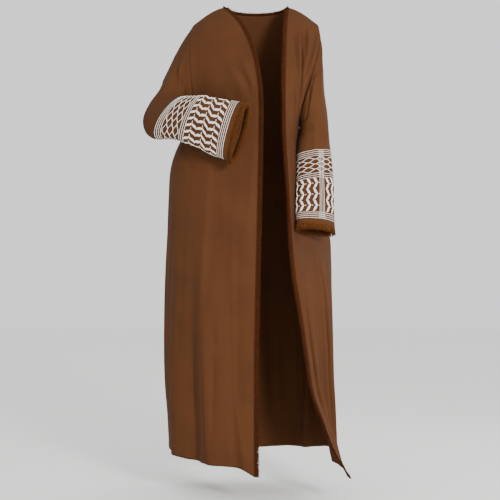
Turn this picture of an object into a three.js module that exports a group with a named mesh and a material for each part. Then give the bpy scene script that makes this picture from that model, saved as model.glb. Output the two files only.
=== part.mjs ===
// An open-front abaya in brown crepe, as it hangs when worn: a back, two fronts, two sleeves, and
// a brush fringe along both front edges, the back neck and the cuffs.
// Millimetres, +Z up, the front of the garment faces -Y. The origin is midway between the two
// side-neck points, where the shoulders carry it. The wearer's left is on the +X side: that
// sleeve hangs, while the right one is bent across the waist.
import * as THREE from "three";

// Driving dimensions
const CLOTH = 1.5; // thickness of the wall
const SEAM_GAP = 0.5; // between two pieces at a seam
const NECK_HALF = 100; // side-neck point from the middle
const SHOULDER = { x: 189, y: 8, z: -52 }; // end of the left shoulder seam, the right is its mirror
const NAPE = { y: 58, z: -14 }; // middle of the back neck
const UNDERARM_LEFT = { x: 129, y: 7, z: -348 };
const UNDERARM_RIGHT = { x: -186, y: 7, z: -348 };
const CHEST = -348; // level of the underarms, where the armholes start
const LOWEST = -1390; // level of the lowest section
const HEM_LEVEL = -1360; // level at which the folds have their full height
const STRIP = 3; // width of the woven head of the fringe
const LOCK = { front: 12, neck: 9, cuff: 18 }; // free length of a lock
const LOCK_PITCH = { front: 18.5, neck: 18, cuff: 10.4 };
const LOCK_COVER = 0.76; // share of its pitch that a lock fills
const NECK_ROOM = 2; // between the end of a front fringe and the neck's
const COLOUR = { cloth: 0x6b4227, sleeve: 0x69412a, fringe: 0x50301c };

// Divisions of the pieces
const STEPS = { shoulder: 16, neck: 12, armhole: 10, skirt: 14, rings: 21 };
const FADE_ROWS = 4.5; // rows of a sleeve's table over which the armhole's shape fades
const INNER_RING = 8; // a ring well inside the sleeve, to tell its outside by

// Sections of the body. right and left: the side seams across, seamR and seamL: how far back they
// lie, back: depth behind.
const BODY = [
  { z: -348, right: 186, left: 129, seamR: 7, seamL: 7, back: 108 },
  { z: -400, right: 226, left: 133, seamR: 8, seamL: 28, back: 110 },
  { z: -480, right: 257, left: 139, seamR: 14, seamL: 38, back: 112 },
  { z: -580, right: 265, left: 172, seamR: 20, seamL: 50, back: 126 },
  { z: -680, right: 268, left: 224, seamR: 24, seamL: 60, back: 140 },
  { z: -760, right: 272, left: 231, seamR: 26, seamL: 58, back: 147 },
  { z: -850, right: 275, left: 232, seamR: 28, seamL: 50, back: 152 },
  { z: -950, right: 276, left: 235, seamR: 30, seamL: 48, back: 158 },
  { z: -1050, right: 276, left: 237, seamR: 32, seamL: 46, back: 164 },
  { z: -1150, right: 274, left: 239, seamR: 34, seamL: 45, back: 170 },
  { z: -1230, right: 269, left: 237, seamR: 36, seamL: 44, back: 175 },
  { z: -1310, right: 266, left: 231, seamR: 38, seamL: 44, back: 180 },
  { z: -1390, right: 262, left: 226, seamR: 40, seamL: 44, back: 184 },
];

// The front edges at the same levels. edge: place across, deep: depth in front, turn: how far the
// front has turned there from lying across (0) to facing forward (90), round: how full its curve
// is on the way to the side seam (0 is straight).
const EDGE_RIGHT = [
  { z: -348, edge: 8, deep: -136, turn: 6, round: 0.28 },
  { z: -400, edge: 7, deep: -138, turn: 4, round: 0.3 },
  { z: -480, edge: 6, deep: -140, turn: 4, round: 0.34 },
  { z: -580, edge: 4, deep: -144, turn: 4, round: 0.36 },
  { z: -680, edge: 2, deep: -149, turn: 4, round: 0.36 },
  { z: -760, edge: 0, deep: -153, turn: 4, round: 0.36 },
  { z: -850, edge: -2, deep: -157, turn: 4, round: 0.36 },
  { z: -950, edge: -4, deep: -162, turn: 4, round: 0.36 },
  { z: -1050, edge: -6, deep: -167, turn: 4, round: 0.36 },
  { z: -1150, edge: -6, deep: -172, turn: 4, round: 0.36 },
  { z: -1230, edge: -6, deep: -176, turn: 4, round: 0.36 },
  { z: -1310, edge: -6, deep: -180, turn: 4, round: 0.36 },
  { z: -1390, edge: -5, deep: -184, turn: 4, round: 0.36 },
];
const EDGE_LEFT = [
  { z: -348, edge: 86, deep: -115, turn: 30, round: 0.34 },
  { z: -400, edge: 87, deep: -118, turn: 30, round: 0.16 },
  { z: -480, edge: 91, deep: -122, turn: 40, round: 0.1 },
  { z: -580, edge: 97, deep: -128, turn: 50, round: 0.07 },
  { z: -680, edge: 101, deep: -134, turn: 50, round: 0.07 },
  { z: -760, edge: 107, deep: -138, turn: 42, round: 0.2 },
  { z: -850, edge: 118, deep: -143, turn: 40, round: 0.36 },
  { z: -950, edge: 133, deep: -149, turn: 45, round: 0.36 },
  { z: -1050, edge: 148, deep: -155, turn: 50, round: 0.36 },
  { z: -1150, edge: 164, deep: -162, turn: 60, round: 0.36 },
  { z: -1230, edge: 193, deep: -169, turn: 76, round: 0.36 },
  { z: -1310, edge: 227, deep: -178, turn: 92, round: 0.36 },
  { z: -1390, edge: 270, deep: -190, turn: 106, round: 0.36 },
];

// Height of the hem across each panel; at runs from the front edge (or the right side) to the side
const HEM = {
  front_right: [
    { at: 0, z: -1384 },
    { at: 0.12, z: -1362 },
    { at: 0.5, z: -1352 },
    { at: 0.8, z: -1338 },
    { at: 1, z: -1334 },
  ],
  front_left: [
    { at: 0, z: -1386 },
    { at: 0.25, z: -1364 },
    { at: 0.6, z: -1340 },
    { at: 1, z: -1336 },
  ],
  back: [
    { at: 0, z: -1334 },
    { at: 0.25, z: -1350 },
    { at: 0.5, z: -1358 },
    { at: 0.75, z: -1352 },
    { at: 1, z: -1336 },
  ],
};

// Standing folds. at and foot: the middle of the fold where it starts and at the hem, wide: its
// half width as a share of the panel, deep: its height at the hem (minus sinks in), from: its top.
const FOLDS = {
  front_right: [
    { at: 0.2, foot: 0.15, wide: 0.1, deep: 9, from: -560 },
    { at: 0.34, foot: 0.33, wide: 0.1, deep: -13, from: -600 },
    { at: 0.5, foot: 0.51, wide: 0.1, deep: 14, from: -520 },
    { at: 0.68, foot: 0.72, wide: 0.13, deep: -15, from: -640 },
  ],
  front_left: [
    { at: 0.2, foot: 0.16, wide: 0.12, deep: -9, from: -700 },
    { at: 0.42, foot: 0.4, wide: 0.12, deep: 13, from: -600 },
    { at: 0.6, foot: 0.62, wide: 0.1, deep: -14, from: -640 },
    { at: 0.8, foot: 0.82, wide: 0.1, deep: 8, from: -660 },
  ],
  back: [
    { at: 0.13, foot: 0.11, wide: 0.05, deep: -14, from: -520 },
    { at: 0.22, foot: 0.2, wide: 0.05, deep: 10, from: -620 },
    { at: 0.33, foot: 0.31, wide: 0.055, deep: -16, from: -430 },
    { at: 0.43, foot: 0.42, wide: 0.05, deep: 9, from: -560 },
    { at: 0.53, foot: 0.54, wide: 0.055, deep: -15, from: -470 },
    { at: 0.64, foot: 0.65, wide: 0.05, deep: 11, from: -600 },
    { at: 0.74, foot: 0.76, wide: 0.05, deep: -15, from: -500 },
    { at: 0.86, foot: 0.88, wide: 0.05, deep: 9, from: -640 },
  ],
};

// Left armhole from the shoulder to the underarm, in front and behind
const ARMHOLE = {
  front: [
    { x: 193, y: -18, z: -96 },
    { x: 184, y: -42, z: -150 },
    { x: 167, y: -55, z: -208 },
    { x: 147, y: -46, z: -276 },
    { x: 134, y: -24, z: -325 },
  ],
  back: [
    { x: 190, y: 36, z: -98 },
    { x: 181, y: 58, z: -156 },
    { x: 167, y: 66, z: -214 },
    { x: 149, y: 56, z: -278 },
    { x: 135, y: 32, z: -326 },
  ],
};

// The way each panel runs into its top edge; at runs as in HEM
const ARRIVE = {
  front_right: [
    { at: 0, x: -0.62, y: 0.62, z: 0.5 },
    { at: 0.5, x: -0.2, y: 0.78, z: 0.6 },
    { at: 1, x: -0.1, y: 0.66, z: 0.75 },
  ],
  front_left: [
    { at: 0, x: 0.12, y: 0.72, z: 0.7 },
    { at: 0.5, x: 0.1, y: 0.75, z: 0.66 },
    { at: 1, x: 0.14, y: 0.66, z: 0.75 },
  ],
  back: [
    { at: 0, x: 0, y: -0.66, z: 0.75 },
    { at: 0.18, x: 0, y: -0.8, z: 0.6 },
    { at: 0.36, x: 0, y: -0.72, z: 0.7 },
    { at: 0.5, x: 0, y: -0.3, z: 0.95 },
    { at: 0.64, x: 0, y: -0.72, z: 0.7 },
    { at: 0.82, x: 0, y: -0.8, z: 0.6 },
    { at: 1, x: 0, y: -0.66, z: 0.75 },
  ],
};

// Rings of the sleeves: the end of the ring under the arm, the end over it, and half the thickness
const SLEEVE_LEFT = [
  { under: [129, 7, -348], over: [189, 8, -52], half: 60 },
  { under: [132, 2, -352], over: [199, 6, -112], half: 63 },
  { under: [131, -9, -361], over: [203, 4, -180], half: 61 },
  { under: [131, -24, -371], over: [207, 3, -258], half: 55 },
  { under: [131, -39, -386], over: [212, 2, -335], half: 46 },
  { under: [127, -54, -415], over: [218, -5, -402], half: 40 },
  { under: [124, -69, -470], over: [225, -18, -460], half: 36 },
  { under: [122, -90, -530], over: [229, -38, -525], half: 34 },
  { under: [120, -111, -592], over: [231, -60, -598], half: 34 },
  { under: [118, -128, -655], over: [231, -80, -670], half: 34 },
];
const SLEEVE_RIGHT = [
  { under: [-186, 7, -348], over: [-189, 8, -52], half: 60 },
  { under: [-196, 8, -345], over: [-216, 6, -92], half: 60 },
  { under: [-205, 4, -338], over: [-246, 5, -146], half: 56 },
  { under: [-209, -10, -332], over: [-276, 2, -206], half: 52 },
  { under: [-214, -26, -321], over: [-304, -2, -266], half: 48 },
  { under: [-217, -44, -308], over: [-327, -8, -322], half: 44 },
  { under: [-217, -64, -295], over: [-332, -26, -372], half: 41 },
  { under: [-211, -88, -286], over: [-310, -52, -400], half: 38 },
  { under: [-195, -112, -284], over: [-268, -86, -404], half: 36 },
  { under: [-166, -138, -288], over: [-220, -118, -415], half: 34 },
  { under: [-130, -160, -294], over: [-172, -144, -435], half: 34 },
  { under: [-86, -180, -303], over: [-127, -165, -457], half: 34 },
  { under: [-36, -197, -313], over: [-82, -184, -478], half: 35 },
];

const vec = (x, y, z) => new THREE.Vector3(x, y, z);
const mix = (a, b, t) => a + (b - a) * t;
const smooth = (t) => {
  const c = Math.min(Math.max(t, 0), 1);
  return c * c * (3 - 2 * c);
};

// A value between rows of a table, on a smooth curve through them
function curve(values, keys, at) {
  const last = keys.length - 1;
  const rising = keys[last] > keys[0];
  let i = 0;
  while (i < last - 1 && (rising ? at > keys[i + 1] : at < keys[i + 1])) i++;
  const span = keys[i + 1] - keys[i];
  const t = Math.min(Math.max((at - keys[i]) / span, 0), 1);
  const slope = (k) => {
    const a = Math.max(k - 1, 0);
    const b = Math.min(k + 1, last);
    return (values[b] - values[a]) / (keys[b] - keys[a]);
  };
  const m0 = slope(i) * span;
  const m1 = slope(i + 1) * span;
  const t2 = t * t;
  const t3 = t2 * t;
  const from = (2 * t3 - 3 * t2 + 1) * values[i] + (t3 - 2 * t2 + t) * m0;
  const to = (3 * t2 - 2 * t3) * values[i + 1] + (t3 - t2) * m1;
  return from + to;
}

function column(table, name, key, at) {
  return curve(table.map((row) => row[name]), table.map((row) => row[key]), at);
}

// The sizes of a table at one level
function section(table, z) {
  const row = {};
  for (const name of Object.keys(table[0])) row[name] = column(table, name, "z", Math.max(z, LOWEST));
  return row;
}

function bezier(a, b, c, d, t) {
  const s = 1 - t;
  return a * s * s * s + 3 * b * s * s * t + 3 * c * s * t * t + d * t * t * t;
}

// A point of a front at one level, from the front edge (0) to the side seam (1)
function frontAt(panel, u, z) {
  const left = panel === "front_left";
  const body = section(BODY, z);
  const front = section(left ? EDGE_LEFT : EDGE_RIGHT, z);
  const edge = [front.edge, front.deep];
  const seam = left ? [body.left, body.seamL] : [-body.right, body.seamR];
  const turn = THREE.MathUtils.degToRad(front.turn);
  const reach = Math.hypot(edge[0] - seam[0], edge[1] - seam[1]) * front.round;
  const from = [edge[0] + (left ? 1 : -1) * Math.cos(turn) * reach, edge[1] + Math.sin(turn) * reach];
  const to = [seam[0], seam[1] - reach];
  return [bezier(edge[0], from[0], to[0], seam[0], u), bezier(edge[1], from[1], to[1], seam[1], u)];
}

// A point of the back at one level, from the right side seam (0) to the left (1)
function backAt(u, z) {
  const s = section(BODY, z);
  const middle = (s.left - s.right) / 2;
  const left = u > 0.5;
  const side = left ? s.left : -s.right;
  const t = left ? (1 - u) * 2 : u * 2;
  const seam = left ? s.seamL : s.seamR;
  return [
    bezier(side, side, mix(middle, side, 0.56), middle, t),
    bezier(seam, mix(seam, s.back, 0.56), s.back, s.back, t),
  ];
}

function levelPoint(panel, u, z) {
  const flat = (w) => (panel === "back" ? backAt(w, z) : frontAt(panel, w, z));
  const [x, y] = flat(u);
  const [ax, ay] = flat(Math.max(u - 0.01, 0));
  const [bx, by] = flat(Math.min(u + 0.01, 1));
  const turned = panel === "front_right" ? 1 : -1;
  const out = vec(turned * (by - ay), turned * (ax - bx), 0).normalize();
  return vec(x, y, z).addScaledVector(out, foldHeight(panel, u, z));
}

// How far the folds push the panel out at a place; they fade to nothing at the side seams
function foldHeight(panel, u, z) {
  let height = 0;
  for (const fold of FOLDS[panel]) {
    const down = Math.min(Math.max((fold.from - z) / (fold.from - HEM_LEVEL), 0), 1);
    const away = (u - mix(fold.at, fold.foot, down)) / fold.wide;
    if (Math.abs(away) >= 1) continue;
    height += fold.deep * smooth(down * 1.25) * Math.cos((away * Math.PI) / 2) ** 2;
  }
  return height;
}

function shoulderSeam(sign, t) {
  const rise = 3 * Math.sin(t * Math.PI);
  const x = sign * mix(NECK_HALF, SHOULDER.x, t);
  return vec(x, mix(0, SHOULDER.y, t), SHOULDER.z * t ** 1.25 + rise);
}

function armhole(sign, half, t) {
  const end = sign > 0 ? UNDERARM_LEFT : UNDERARM_RIGHT;
  const rows = [SHOULDER, ...ARMHOLE[half], UNDERARM_LEFT];
  const keys = rows.map((row, i) => i / (rows.length - 1));
  const [x, y, z] = ["x", "y", "z"].map((name) => curve(rows.map((row) => row[name]), keys, t));
  const spread = smooth(t);
  const shift = sign > 0 ? 0 : (-end.x - UNDERARM_LEFT.x) * spread;
  const drop = sign > 0 ? 0 : (end.z - UNDERARM_LEFT.z) * spread;
  return vec(sign * (x + shift), y, z + drop);
}

// The top edge of a panel: the shoulder seam, and for the back the neck between the two
function topEdge(panel, u) {
  if (panel !== "back") return shoulderSeam(panel === "front_left" ? 1 : -1, u);
  const cells = 2 * STEPS.shoulder + STEPS.neck;
  const step = Math.min(u, 1 - u) * cells;
  const sign = u < 0.5 ? -1 : 1;
  if (step <= STEPS.shoulder) return shoulderSeam(sign, 1 - step / STEPS.shoulder);
  const round = ((step - STEPS.shoulder) / STEPS.neck) * Math.PI;
  return vec(sign * NECK_HALF * Math.cos(round), NAPE.y * Math.sin(round) ** 0.9, NAPE.z * Math.sin(round));
}

// Above the underarms a column of the panel rises from the chest to the top edge on one bend
function riser(panel, u, t) {
  const start = levelPoint(panel, u, CHEST);
  const below = levelPoint(panel, u, CHEST - 20);
  const end = topEdge(panel, u);
  const length = start.distanceTo(end);
  const leave = start.clone().sub(below).normalize().multiplyScalar(length * 1.05);
  const way = ["x", "y", "z"].map((name) => column(ARRIVE[panel], name, "at", u));
  const arrive = vec(...way).normalize().multiplyScalar(length * 1.05);
  const t2 = t * t;
  const t3 = t2 * t;
  return vec(0, 0, 0)
    .addScaledVector(start, 2 * t3 - 3 * t2 + 1)
    .addScaledVector(leave, t3 - 2 * t2 + t)
    .addScaledVector(end, 3 * t2 - 2 * t3)
    .addScaledVector(arrive, t3 - t2);
}

// Near an armhole the panel is drawn to its curve
function surface(panel, u, row) {
  if (row <= STEPS.skirt) {
    const hem = column(HEM[panel], "z", "at", u);
    return levelPoint(panel, u, mix(hem, CHEST, row / STEPS.skirt));
  }
  const t = (row - STEPS.skirt) / STEPS.armhole;
  const point = riser(panel, u, t);
  const draw = (sign, half, side, share) => {
    if (share <= 0) return;
    point.addScaledVector(armhole(sign, half, 1 - t).sub(riser(panel, side, t)), share ** 2);
  };
  if (panel === "front_left") draw(1, "front", 1, u);
  if (panel === "front_right") draw(-1, "front", 1, u);
  if (panel === "back") {
    draw(-1, "back", 0, 1 - u / 0.42);
    draw(1, "back", 1, 1 - (1 - u) / 0.42);
  }
  return point;
}

// Points of a panel, rows from the hem up, columns across
function panelGrid(panel) {
  const cols = panel === "back" ? 2 * STEPS.shoulder + STEPS.neck : STEPS.shoulder;
  const grid = [];
  for (let i = 0; i <= STEPS.skirt + STEPS.armhole; i++) {
    const row = [];
    for (let j = 0; j <= cols; j++) row.push(surface(panel, j / cols, i));
    grid.push(row);
  }
  return grid;
}

// Outward directions of a grid; flip is -1 where its columns run the other way round
function gridNormals(grid, flip, closed) {
  const rows = grid.length;
  const cols = grid[0].length;
  return grid.map((row, i) =>
    row.map((point, j) => {
      const up = grid[Math.min(i + 1, rows - 1)][j].clone().sub(grid[Math.max(i - 1, 0)][j]);
      const next = closed ? (j + 1) % cols : Math.min(j + 1, cols - 1);
      const prev = closed ? (j + cols - 1) % cols : Math.max(j - 1, 0);
      const along = grid[i][next].clone().sub(grid[i][prev]);
      return along.cross(up).normalize().multiplyScalar(flip);
    })
  );
}

const keyOf = (p) => [p.x, p.y, p.z].map((c) => Math.round(c * 50)).join(" ");

// One direction where panels meet, so that their edges stay parallel through the thickness
function shareNormals(pieces) {
  const sums = new Map();
  for (const { grid, normals } of pieces) {
    grid.forEach((row, i) =>
      row.forEach((point, j) => {
        if (i !== grid.length - 1 && j !== 0 && j !== row.length - 1) return;
        const key = keyOf(point);
        if (!sums.has(key)) sums.set(key, vec(0, 0, 0));
        sums.get(key).add(normals[i][j]);
      })
    );
  }
  for (const { grid, normals } of pieces) {
    grid.forEach((row, i) =>
      row.forEach((point, j) => {
        const sum = sums.get(keyOf(point));
        if (sum) normals[i][j] = sum.clone().normalize();
      })
    );
  }
  return sums;
}

// Direction in the cloth away from the panel, square to the line from a to b
function away(a, b, normal, inside, at) {
  const out = b.clone().sub(a).cross(normal).normalize();
  return out.dot(inside.clone().sub(at)) > 0 ? out.negate() : out;
}

// The same at a place between two lines, as long as it takes to stay a unit clear of both
function mitre(prev, at, next, normal, inside) {
  const ways = [prev, next].filter((p) => p !== at).map((p) => away(at, p, normal, inside, at));
  if (ways.length === 1) return ways[0];
  return ways[0].clone().add(ways[1]).divideScalar(Math.max(1 + ways[0].dot(ways[1]), 0.5));
}

// Draws the seam edges of a panel back by half the gap
function partSeams(grid, normals, seams) {
  const rows = grid.length - 1;
  const cols = grid[0].length - 1;
  const moved = grid.map((row) => row.map((p) => p.clone()));
  const draw = (i, j, prev, next, inside) => {
    const out = mitre(prev, grid[i][j], next, normals[i][j], inside);
    moved[i][j].addScaledVector(out, -SEAM_GAP / 2);
  };
  for (let i = 0; i <= rows; i++) {
    const a = Math.max(i - 1, 0);
    const b = Math.min(i + 1, rows);
    if (seams.start) draw(i, 0, grid[a][0], grid[b][0], grid[i][1]);
    if (seams.end) draw(i, cols, grid[a][cols], grid[b][cols], grid[i][cols - 1]);
  }
  for (let j = 0; j <= cols; j++) {
    if (!seams.top(j)) continue;
    const a = Math.max(j - 1, 0);
    const b = Math.min(j + 1, cols);
    draw(rows, j, grid[rows][a], grid[rows][b], grid[rows - 1][j]);
  }
  return moved;
}

// A closed wall from a grid of outer points and the direction of its thickness at each
function wall(grid, normals, closed) {
  const rows = grid.length;
  const cols = grid[0].length;
  const outer = grid.flat();
  const across = normals.flat();
  const inner = outer.map((p, k) => p.clone().addScaledVector(across[k], -CLOTH));
  const points = [...outer, ...inner];
  const half = outer.length;
  const faces = [];
  const id = (i, j) => i * cols + (j % cols);
  // Split along the shorter diagonal of the outer side, and alike through the thickness
  const quad = (a, b, c, d) => {
    const [p, q, r, s] = [a, b, c, d].map((n) => points[n % half]);
    if (p.distanceTo(r) <= q.distanceTo(s) + 1e-6) faces.push([a, b, c], [a, c, d]);
    else faces.push([b, c, d], [b, d, a]);
  };
  const spans = closed ? cols : cols - 1;
  for (let i = 0; i < rows - 1; i++) {
    for (let j = 0; j < spans; j++) {
      quad(id(i, j), id(i, j + 1), id(i + 1, j + 1), id(i + 1, j));
      quad(half + id(i, j), half + id(i + 1, j), half + id(i + 1, j + 1), half + id(i, j + 1));
    }
    if (closed) continue;
    quad(id(i, 0), id(i + 1, 0), half + id(i + 1, 0), half + id(i, 0));
    quad(id(i + 1, cols - 1), id(i, cols - 1), half + id(i, cols - 1), half + id(i + 1, cols - 1));
  }
  for (let j = 0; j < spans; j++) {
    quad(id(0, j + 1), id(0, j), half + id(0, j), half + id(0, j + 1));
    quad(id(rows - 1, j), id(rows - 1, j + 1), half + id(rows - 1, j + 1), half + id(rows - 1, j));
  }
  return { points, faces };
}

function volume({ points, faces }) {
  return faces.reduce((sum, [a, b, c]) => sum + points[a].dot(points[b].clone().cross(points[c])) / 6, 0);
}

function meshOf(name, body, material) {
  const turned = volume(body) < 0;
  const geometry = new THREE.BufferGeometry();
  const coordinates = body.points.flatMap((p) => p.toArray());
  geometry.setAttribute("position", new THREE.Float32BufferAttribute(coordinates, 3));
  geometry.setIndex(body.faces.flatMap(([a, b, c]) => (turned ? [a, c, b] : [a, b, c])));
  geometry.computeVertexNormals();
  const mesh = new THREE.Mesh(geometry, material);
  mesh.name = name;
  return mesh;
}

// Points round an armhole: down the front from the shoulder, then up the back
function armholeLoop(sign) {
  const loop = [];
  for (let j = 0; j < STEPS.armhole; j++) loop.push(armhole(sign, "front", j / STEPS.armhole));
  for (let j = 0; j < STEPS.armhole; j++) loop.push(armhole(sign, "back", 1 - j / STEPS.armhole));
  return loop;
}

// Rings of a sleeve. The first is the armhole; what sets it apart from an oval fades along the arm.
function sleeveGrid(table, sign) {
  const loop = armholeLoop(sign);
  const keys = table.map((row, i) => i);
  const last = table.length - 1;
  const at = (name, c, t) => curve(table.map((row) => row[name][c]), keys, t);
  const end = (name, t) => vec(at(name, 0, t), at(name, 1, t), at(name, 2, t));
  const middle = (t) => end("under", t).add(end("over", t)).multiplyScalar(0.5);
  const ringAt = (t) => {
    const under = end("under", t);
    const over = end("over", t);
    const along = middle(Math.min(t + 0.15, last)).sub(middle(Math.max(t - 0.15, 0)));
    const reach = over.clone().sub(under).multiplyScalar(0.5);
    const front = along.cross(reach).normalize().multiplyScalar(sign);
    const half = curve(table.map((row) => row.half), keys, t);
    return loop.map((point, j) => {
      const turn = (j / loop.length) * Math.PI * 2;
      const out = reach.clone().multiplyScalar(Math.cos(turn)).addScaledVector(front, half * Math.sin(turn));
      return out.add(middle(t));
    });
  };
  const first = ringAt(0);
  const rest = loop.map((point, j) => point.clone().sub(first[j]));
  const grid = [];
  for (let k = 0; k < STEPS.rings; k++) {
    const t = (k / (STEPS.rings - 1)) * last;
    const keep = 1 - smooth(t / FADE_ROWS);
    grid.push(ringAt(t).map((point, j) => point.addScaledVector(rest[j], keep)));
  }
  return grid;
}

function sleeve(table, sign, shared) {
  const grid = sleeveGrid(table, sign);
  const normals = gridNormals(grid, 1, true);
  const ring = grid[INNER_RING];
  const middle = ring.reduce((sum, p) => sum.add(p), vec(0, 0, 0)).divideScalar(ring.length);
  const outside = normals[INNER_RING][0].dot(ring[0].clone().sub(middle)) > 0;
  if (!outside) normals.forEach((row) => row.forEach((n) => n.negate()));
  const count = grid[0].length;
  const start = grid[0].map((p) => p.clone());
  start.forEach((point, j) => {
    normals[0][j] = shared.get(keyOf(point)).clone().normalize();
    const prev = start[(j + count - 1) % count];
    const next = start[(j + 1) % count];
    const out = mitre(prev, point, next, normals[0][j], bodySide(point, sign));
    // A little more room where three pieces meet, under the arm and on the shoulder
    const under = 1 - smooth((point.z - CHEST) / 70);
    const over = 1 - smooth((SHOULDER.z - point.z) / 50);
    grid[0][j] = point.clone().addScaledVector(out, SEAM_GAP / 2 + 1.0 * under + 0.3 * over);
  });
  return { grid, normals };
}

// A point on the body's side of the armhole, to tell the sleeve's side from the panel's
function bodySide(point, sign) {
  const under = sign > 0 ? UNDERARM_LEFT : UNDERARM_RIGHT;
  const low = point.z < under.z + 12;
  return low ? vec(point.x, point.y, point.z - 40) : vec(point.x - sign * 40, point.y, point.z - 10);
}

// A fringe: a woven head along an edge, and flat locks that stand out from it
function fringe(frames, length, pitch, closed) {
  const points = [];
  const faces = [];
  const add = (p) => points.push(p) - 1;
  const at = (f, out, down) => f.edge.clone().addScaledVector(f.out, out).addScaledVector(f.normal, -down);
  const near = frames.map((f) => [add(at(f, SEAM_GAP, 0)), add(at(f, SEAM_GAP, CLOTH))]);
  const far = frames.map((f) => [add(at(f, SEAM_GAP + STRIP, 0)), add(at(f, SEAM_GAP + STRIP, CLOTH))]);
  const spans = closed ? frames.length : frames.length - 1;
  for (let i = 0; i < spans; i++) {
    const k = (i + 1) % frames.length;
    const a = far[i].map((n) => points[n]);
    const b = far[k].map((n) => points[n]);
    const size = a[0].distanceTo(b[0]);
    const locks = Math.max(1, Math.round(size / pitch));
    const stations = [far[i]];
    for (let n = 0; n < locks; n++) {
      for (const side of [-1, 1]) {
        const t = (n + 0.5 + (side * LOCK_COVER) / 2) / locks;
        stations.push([0, 1].map((s) => add(a[s].clone().lerp(b[s], t))));
      }
    }
    stations.push(far[k]);
    strip(faces, near, stations, i, k);
    for (let n = 0; n < stations.length - 1; n++) {
      const [p, q] = [stations[n], stations[n + 1]];
      if (n % 2 === 0) {
        faces.push([p[0], q[0], q[1]], [p[0], q[1], p[1]]);
        continue;
      }
      const t = (Math.floor(n / 2) + 0.5) / locks;
      const out = frames[i].out.clone().lerp(frames[k].out, t).normalize();
      const lean = points[q[0]].clone().sub(points[p[0]]).multiplyScalar(0.06);
      const tips = [p, q].map((pair, s) => {
        const root = points[pair[0]].clone().add(points[pair[1]]).multiplyScalar(0.5);
        return add(root.addScaledVector(out, length).addScaledVector(lean, s === 0 ? 1 : -1));
      });
      faces.push([p[0], q[0], tips[1]], [p[0], tips[1], tips[0]]);
      faces.push([q[1], p[1], tips[0]], [q[1], tips[0], tips[1]]);
      faces.push([p[1], p[0], tips[0]], [q[0], q[1], tips[1]]);
    }
  }
  if (!closed) {
    const z = frames.length - 1;
    faces.push([near[0][0], far[0][0], far[0][1]], [near[0][0], far[0][1], near[0][1]]);
    faces.push([near[z][0], near[z][1], far[z][1]], [near[z][0], far[z][1], far[z][0]]);
  }
  return { points, faces };
}

// The head's three faces between two frames, fanned to the stations of the locks
function strip(faces, near, stations, i, k) {
  const half = Math.ceil((stations.length - 1) / 2);
  for (let n = 0; n < stations.length - 1; n++) {
    const pivot = n < half ? near[i] : near[k];
    faces.push([pivot[0], stations[n + 1][0], stations[n][0]]);
    faces.push([pivot[1], stations[n][1], stations[n + 1][1]]);
  }
  faces.push([near[i][0], near[k][0], stations[half][0]]);
  faces.push([near[i][1], stations[half][1], near[k][1]]);
  faces.push([near[i][0], near[i][1], near[k][1]], [near[i][0], near[k][1], near[k][0]]);
}

// Frames along an edge: the place, the way out of the cloth, and the side its thickness lies on
function edgeFrames(edge, inside, normals, closed) {
  const last = edge.length - 1;
  return edge.map((point, i) => {
    const prev = closed ? edge[(i + last) % (last + 1)] : edge[Math.max(i - 1, 0)];
    const next = closed ? edge[(i + 1) % (last + 1)] : edge[Math.min(i + 1, last)];
    const out = mitre(prev, point, next, normals[i], inside[i]);
    return { edge: point, out, normal: normals[i] };
  });
}

// Draws one end of a row of frames back, so that two fringes do not touch at the neck
function shorten(frames, atStart, by) {
  const i = atStart ? 0 : frames.length - 1;
  const k = atStart ? 1 : frames.length - 2;
  const step = frames[k].edge.clone().sub(frames[i].edge).normalize();
  frames[i] = { ...frames[i], edge: frames[i].edge.clone().addScaledVector(step, by) };
}

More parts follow.
